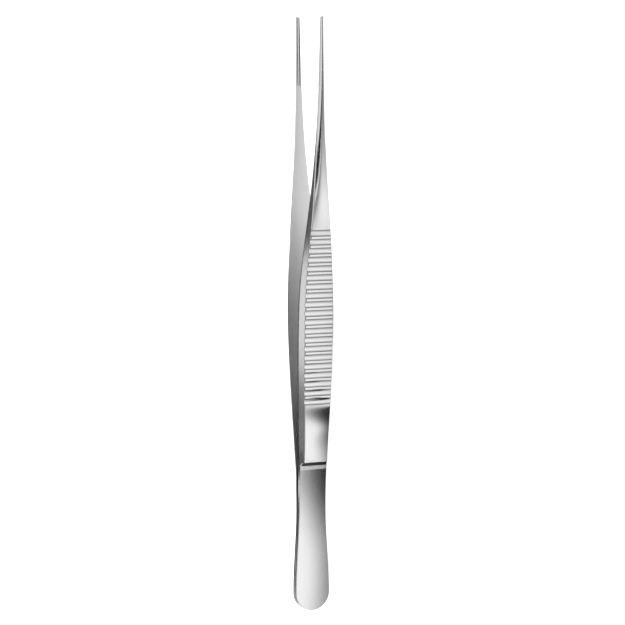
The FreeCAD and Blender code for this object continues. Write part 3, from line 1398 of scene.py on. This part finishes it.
SHADE_CARDS = (
    # Beside the camera: the broken edges and the round backs of the tapers face it and get their dark lines.
    ShadeCard("front_shade", centre=(0.55, 0.0, 0.265), size=(0.0, 0.7, 0.43)),
    # High over the side away from the camera: the flanks of the tapers mirror it.
    ShadeCard("rear_shade", centre=(-0.175, 0.0, 0.45), size=(0.17, 0.9, 0.0)),
    # A small one high up towards the heel: it dims the flanks beside the plain pads.
    ShadeCard("spring_shade", centre=(-0.055, -0.17, 0.45), size=(0.07, 0.09, 0.0)),
    # Low on the side away from the camera: the flanks of springs and jaws, which hardly lean, mirror it.
    ShadeCard("back_shade", centre=(-0.4, 0.0725, 0.17), size=(0.0, 0.475, 0.33)),
    # Next to it, in a lighter grey: the flat flanks of the heel mirror it.
    ShadeCard("heel_shade", centre=(-0.4, -0.3, 0.17), size=(0.0, 0.27, 0.33), colour="#ACACAC"),
)


@dataclass(frozen=True)
class GradedCard:
    """A clear film just over the floor beside a leg, which its back mirrors, inked unevenly across: a painted
    reflection that shows only in the steel.

    Stations count from the heel end, and places across from the plane between the legs, in millimetres.
    Across each station the ink goes from its full density at dense_at to the least one at clear_at. The film
    starts at near_edge and leans towards the heel by the slant.
    """

    name: str
    start: float
    end: float
    fade_in: float
    fade_out: float
    dense_at: tuple[Point, ...]
    clear_at: tuple[Point, ...]
    density: tuple[Point, ...]
    least: tuple[Point, ...] = ((0.0, 0.0), (200.0, 0.0))
    near_edge: tuple[Point, ...] = ((0.0, 0.0), (200.0, 0.0))
    slant: float = 0.25
    reach: float = 120.0
    height: float = 0.3
    across_count: int = 60
    along_count: int = 60
    ink_colour: str = "#161616"

    def build(self, forging: Forging, side: Side) -> bpy.types.Object:
        """Build the card for one leg.

        Args:
            forging: The leg's sizes.
            side: The leg's side.

        Returns:
            The card, with how densely it is inked as an attribute.
        """
        corners, values = [], []
        for i in range(self.along_count + 1):
            station = self.start + (self.end - self.start) * i / self.along_count
            near = self._at(self.near_edge, station)
            places = [near + self.reach * (j / self.across_count) ** 2 for j in range(self.across_count + 1)]
            values += self._inks(station, places)
            for x in places:
                y = station - forging.tip_station / 2.0 - self.slant * x
                corners.append(Vector((side.value * x, y, self.height)) * MM)
        row = self.across_count + 1
        faces = [
            (i * row + j, i * row + j + 1, (i + 1) * row + j + 1, (i + 1) * row + j)
            for i in range(self.along_count) for j in range(self.across_count)
        ]
        card = staged_mesh(f"{self.name}_{side.name.lower()}", corners, faces)
        card.data.attributes.new(INK, "FLOAT", "POINT").data.foreach_set("value", values)
        card.data.materials.append(self._film())
        show_only_in_gloss(card)
        return card

    @staticmethod
    def _at(points: tuple[Point, ...], station: float) -> float:
        """Return the value at a station of the smooth curve through some points."""
        return SmoothCurve(list(points)).at(station)

    def _inks(self, station: float, places: list[float]) -> list[float]:
        """Return how densely the film is inked at some places across one station.

        Args:
            station: Distance from the heel end, in millimetres.
            places: Distances from the plane between the legs, in millimetres.

        Returns:
            A share of full ink for each place.
        """
        dense, clear = self._at(self.dense_at, station), self._at(self.clear_at, station)
        most, least = self._at(self.density, station), self._at(self.least, station)
        ends = smooth_share(station, self.start, self.start + self.fade_in)
        ends *= smooth_share(station, self.end, self.end - self.fade_out)
        return [ends * (least + (most - least) * smooth_share(x, clear, dense)) for x in places]

    def _film(self) -> bpy.types.Material:
        """Make a clear film with matt black ink, as dense as the card's attribute says.

        Returns:
            The film's material.
        """
        material = new_material(self.name + "_film")
        tree = material.node_tree
        density = add_node(tree, "ShaderNodeAttribute", {"attribute_name": INK})
        clear = add_node(tree, "ShaderNodeBsdfTransparent")
        ink = add_node(tree, "ShaderNodeBsdfDiffuse", {"Color": linear_colour(self.ink_colour)})
        film = add_node(
            tree, "ShaderNodeMixShader", links={0: (density, "Fac"), 1: (clear, "BSDF"), 2: (ink, "BSDF")}
        )
        add_node(tree, "ShaderNodeOutputMaterial", links={"Surface": (film, "Shader")})
        return material


GRADED_CARDS = (
    # Paddle and spring: their backs stay light along the upper side and darken towards floor and shoulder.
    GradedCard(
        "paddle_shade", start=-10.0, end=50.7, fade_in=6.0, fade_out=0.3,
        dense_at=((0.0, -2.0), (25.0, 0.0), (50.0, 5.0)), clear_at=((0.0, 24.0), (25.0, 22.0), (50.0, 50.0)),
        density=((0.0, 0.72), (25.0, 0.72), (40.0, 0.93), (51.0, 0.97)),
    ),
    # Plain pad: light from the shoulder on along its upper side, and dark towards the floor and the flutes.
    GradedCard(
        "plain_shade", start=50.7, end=71.0, fade_in=0.3, fade_out=0.3, slant=0.27,
        dense_at=((50.7, -1.0), (55.0, -0.5), (60.0, 3.0), (65.0, 5.0), (70.0, 10.0)),
        clear_at=((50.7, 17.0), (55.0, 20.0), (60.0, 22.0), (65.0, 24.0), (70.0, 80.0)),
        density=((50.7, 0.96), (70.0, 0.98)),
    ),
    # Taper and jaw: darkest far from the leg, which the upper part of the round back mirrors.
    GradedCard(
        "taper_shade", start=127.0, end=210.0, fade_in=3.0, fade_out=3.0, slant=0.1,
        dense_at=((127.0, 60.0), (150.0, 50.0), (200.0, 60.0)), clear_at=((127.0, 14.0), (200.0, 16.0)),
        density=((127.0, 0.8), (200.0, 0.9)),
        least=((127.0, 0.18), (140.0, 0.05), (150.0, 0.33), (160.0, 0.55), (175.0, 0.75), (200.0, 0.75)),
        near_edge=((127.0, 7.0), (160.0, 7.5), (182.0, 7.5), (200.0, 7.0)),
    ),
)


def show_only_in_gloss(card: bpy.types.Object) -> None:
    """Let a card show only in reflections, as black paper beside a set does.

    Args:
        card: The card.
    """
    card.visible_camera = False
    card.visible_diffuse = False
    card.visible_shadow = False


@dataclass
class Studio:
    """White floor, soft lamp, shade cards and the camera.

    Lengths are in metres, the sensor's width in millimetres and angles in radians. What looks white has a
    radiance of 1.
    """

    # The camera, which looks at the forceps from the photograph's side.
    elevation: float = math.radians(28.0)
    pitch: float = 0.081
    roll: float = -0.0024
    distance: float = 1.0
    pixels_per_metre: float = 2975.7
    photo_pixels: float = 625.0
    centre_pixel: Point = (311.0, 315.4)
    aim: Triple = (0.0, 0.0, 0.0066)
    sensor: float = 36.0

    # The floor, the room and the lamp.
    floor_size: float = 8.0
    floor_grey: str = "#E6E6E6"
    floor_lift: float = 0.8
    floor_lift_in_steel: float = 0.32
    room_light: float = 0.9
    softbox_place: Triple = (0.06, 0.0, 0.42)
    softbox_size: Point = (0.22, 0.6)
    softbox_radiance: float = 1.0
    forging: Forging = field(default_factory=Forging)

    def build(self) -> None:
        """Set the camera, the floor, the lamp, the cards and the world."""
        self._camera()
        self._floor()
        self._world()
        self._softbox()
        for card in SHADE_CARDS:
            card.build()
        for side in Side:
            for film in GRADED_CARDS:
                film.build(self.forging, side)
        bpy.context.scene.view_settings.view_transform = "Standard"

    def _camera(self) -> None:
        """Set the long lens at the photograph's viewing angle, with the tips up in the picture."""
        turn, tilt = self.elevation, self.pitch
        back = Vector((math.cos(tilt) * math.cos(turn), math.sin(tilt), math.cos(tilt) * math.sin(turn)))
        right = Vector((math.sin(turn), 0.0, -math.cos(turn)))
        up = back.cross(right)
        right, up = right + up * self.roll, up - right * self.roll
        data = bpy.data.cameras.new("camera")
        data.sensor_width = self.sensor
        view_width = self.photo_pixels / self.pixels_per_metre
        data.lens = self.sensor * self.distance / view_width
        middle = self.photo_pixels / 2.0
        data.shift_x = (middle - self.centre_pixel[0]) / self.photo_pixels
        data.shift_y = (self.centre_pixel[1] - middle) / self.photo_pixels
        camera = bpy.data.objects.new("camera", data)
        bpy.context.scene.collection.objects.link(camera)
        turned = Matrix((right, up, back)).transposed().to_4x4()
        camera.matrix_world = Matrix.Translation(Vector(self.aim) + back * self.distance) @ turned
        bpy.context.scene.camera = camera

    def _floor(self) -> None:
        """Lay a floor of matt white paper, which the camera sees as white, apart from a soft shadow."""
        floor = flat_sheet("floor", (0.0, 0.0, 0.0), (self.floor_size, self.floor_size, 0.0))
        material = new_material("white_floor")
        tree = material.node_tree
        paper = add_node(tree, "ShaderNodeBsdfDiffuse", {"Color": linear_colour(self.floor_grey)})
        path = add_node(tree, "ShaderNodeLightPath")
        in_camera = add_node(
            tree, "ShaderNodeMath", {"operation": "MULTIPLY", 1: self.floor_lift},
            {0: (path, "Is Camera Ray")},
        )
        in_steel = add_node(
            tree, "ShaderNodeMath", {"operation": "MULTIPLY", 1: self.floor_lift_in_steel},
            {0: (path, "Is Glossy Ray")},
        )
        lift = add_node(
            tree, "ShaderNodeMath", {"operation": "MAXIMUM"},
            {0: (in_camera, "Value"), 1: (in_steel, "Value")},
        )
        glow = add_node(tree, "ShaderNodeEmission", {"Color": WHITE}, {"Strength": (lift, "Value")})
        both = add_node(tree, "ShaderNodeAddShader", links={0: (paper, "BSDF"), 1: (glow, "Emission")})
        add_node(tree, "ShaderNodeOutputMaterial", links={"Surface": (both, "Shader")})
        floor.data.materials.append(material)

    def _world(self) -> None:
        """Fill the room with even white light, dimmer where it only lights the floor."""
        world = bpy.data.worlds.new("white_room")
        world.use_nodes = True
        tree = world.node_tree
        tree.nodes.clear()
        path = add_node(tree, "ShaderNodeLightPath")
        straight = add_node(
            tree, "ShaderNodeMath", {"operation": "MAXIMUM"},
            {0: (path, "Is Camera Ray"), 1: (path, "Is Glossy Ray")},
        )
        seen = add_node(
            tree, "ShaderNodeMath", {"operation": "MAXIMUM"},
            {0: (straight, "Value"), 1: (path, "Is Transmission Ray")},
        )
        strength = add_node(
            tree, "ShaderNodeMapRange", {"To Min": self.room_light, "To Max": 1.0}, {"Value": (seen, "Value")}
        )
        light = add_node(
            tree, "ShaderNodeBackground", {"Color": WHITE}, {"Strength": (strength, "Result")}
        )
        add_node(tree, "ShaderNodeOutputWorld", links={"Surface": (light, "Background")})
        bpy.context.scene.world = world

    def _softbox(self) -> None:
        """Hang a soft box that shines straight down and doesn't show in the steel."""
        data = bpy.data.lights.new("overhead_softbox", "AREA")
        data.shape = "RECTANGLE"
        width, length = self.softbox_size
        data.size, data.size_y = width, length
        data.energy = self.softbox_radiance * math.pi * width * length
        lamp = bpy.data.objects.new("overhead_softbox", data)
        lamp.location = self.softbox_place
        lamp.visible_glossy = False
        bpy.context.scene.collection.objects.link(lamp)


# Which finish each zone of the skin has.
FINISHES = {
    Zone.INNER_FACE: SATIN_INNER,
    Zone.JAW_FACE: CUT_JAW,
    Zone.FLANK: GROUND_FLANK_PAINTED_SHADE,
    Zone.BACK: GROUND_BACK,
    Zone.FLUTE: MILLED_FLUTE_PAINTED_SHADE,
    Zone.PAINTED_RECESS_SHADE: PAINTED_SHADE_STEEL,
    Zone.SHOULDER_ROUND: BLENDED_ROUND_PAINTED_LIGHT,
}

# The leg whose back the picture shows, and the one whose inner face it shows.
LEGS = (
    Leg("forged_double_row_leg", "double_row_leg", Side.PLUS_X, JawPattern.DOUBLE_ROW),
    Leg("forged_single_row_leg", "single_row_leg", Side.MINUS_X, JawPattern.SINGLE_ROW),
)


def main() -> None:
    """Build the studio and both legs, and report each piece."""
    logging.basicConfig(level=logging.INFO, format="%(message)s")
    Studio().build()
    materials = {zone: finish.build() for zone, finish in FINISHES.items()}
    for leg in LEGS:
        piece = leg.build(materials)
        log.info("%s stands for %s, with %d faces", piece.name, leg.node, len(piece.data.polygons))


if __name__ == "__main__":
    main()
